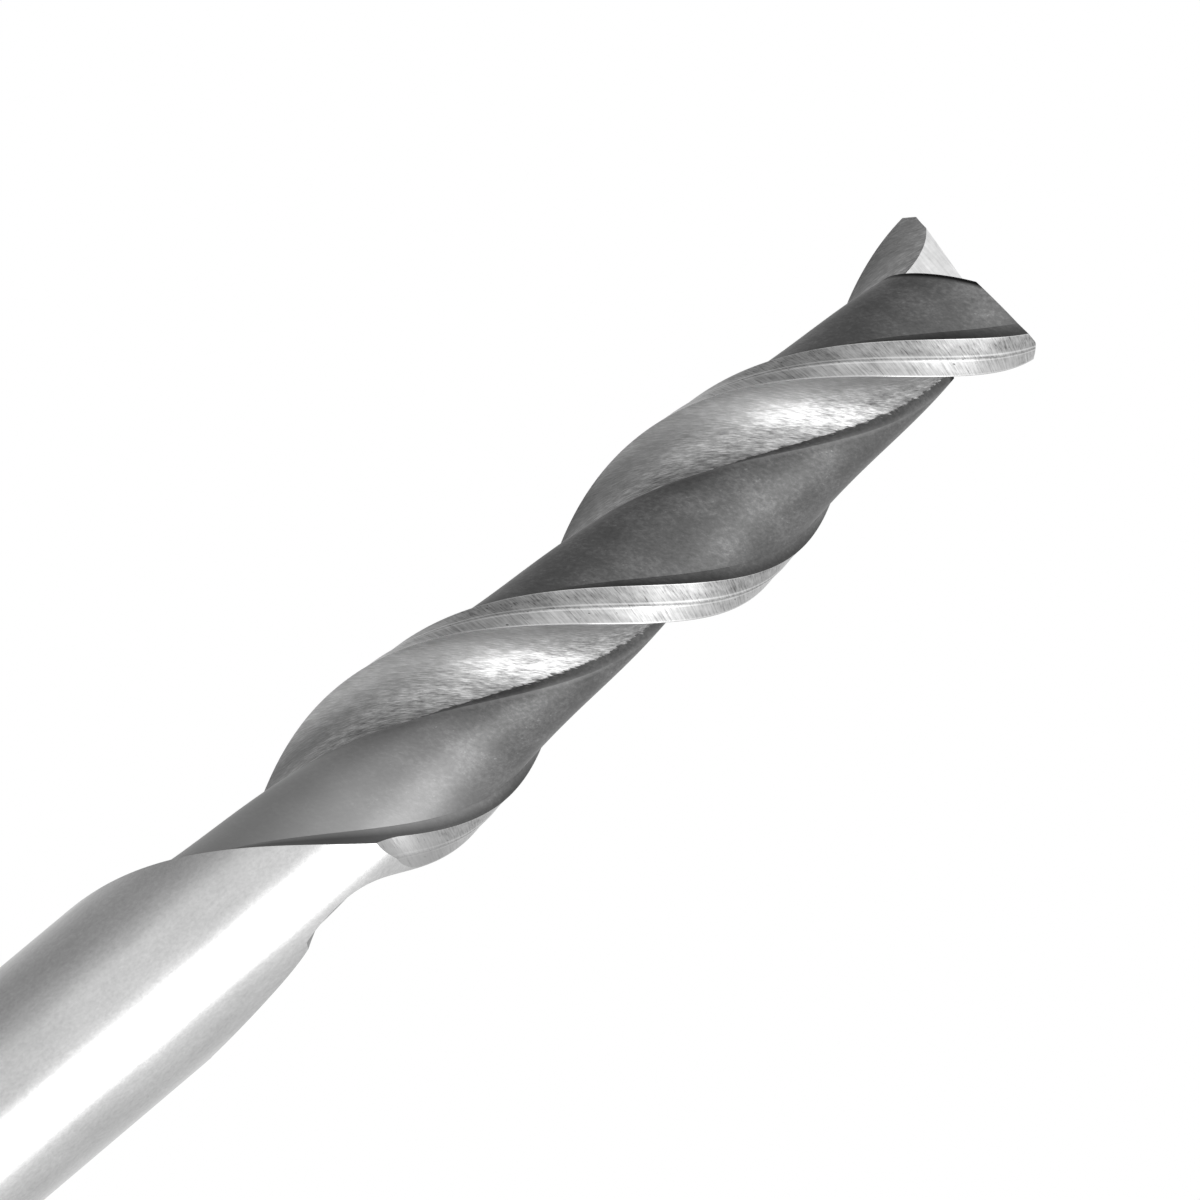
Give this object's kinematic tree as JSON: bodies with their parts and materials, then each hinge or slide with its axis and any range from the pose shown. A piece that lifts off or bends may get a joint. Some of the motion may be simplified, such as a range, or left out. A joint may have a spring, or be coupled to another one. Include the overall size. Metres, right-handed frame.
{
  "type": "end mill",
  "caption": "Straight-shank end mill with helical cutting teeth, relieved lands, hollow-ground rake faces and gashed end teeth, for milling slots and pockets in metal.",
  "frame": {"origin": "centre of the shank's end face, on the tool's axis", "axes": "+Z along the axis from the shank to the cutting end; +X through one tooth's outer corner at the cutting end"},
  "size_m": [0.012, 0.012, 0.11],
  "materials": {
    "tool_steel": "cylindrically ground shank and lands, wheel-ground rake faces, dull grey hardened flutes"
  },
  "bodies": {
    "root": {"end_mill": "tool_steel"}
  },
  "joints": []
}
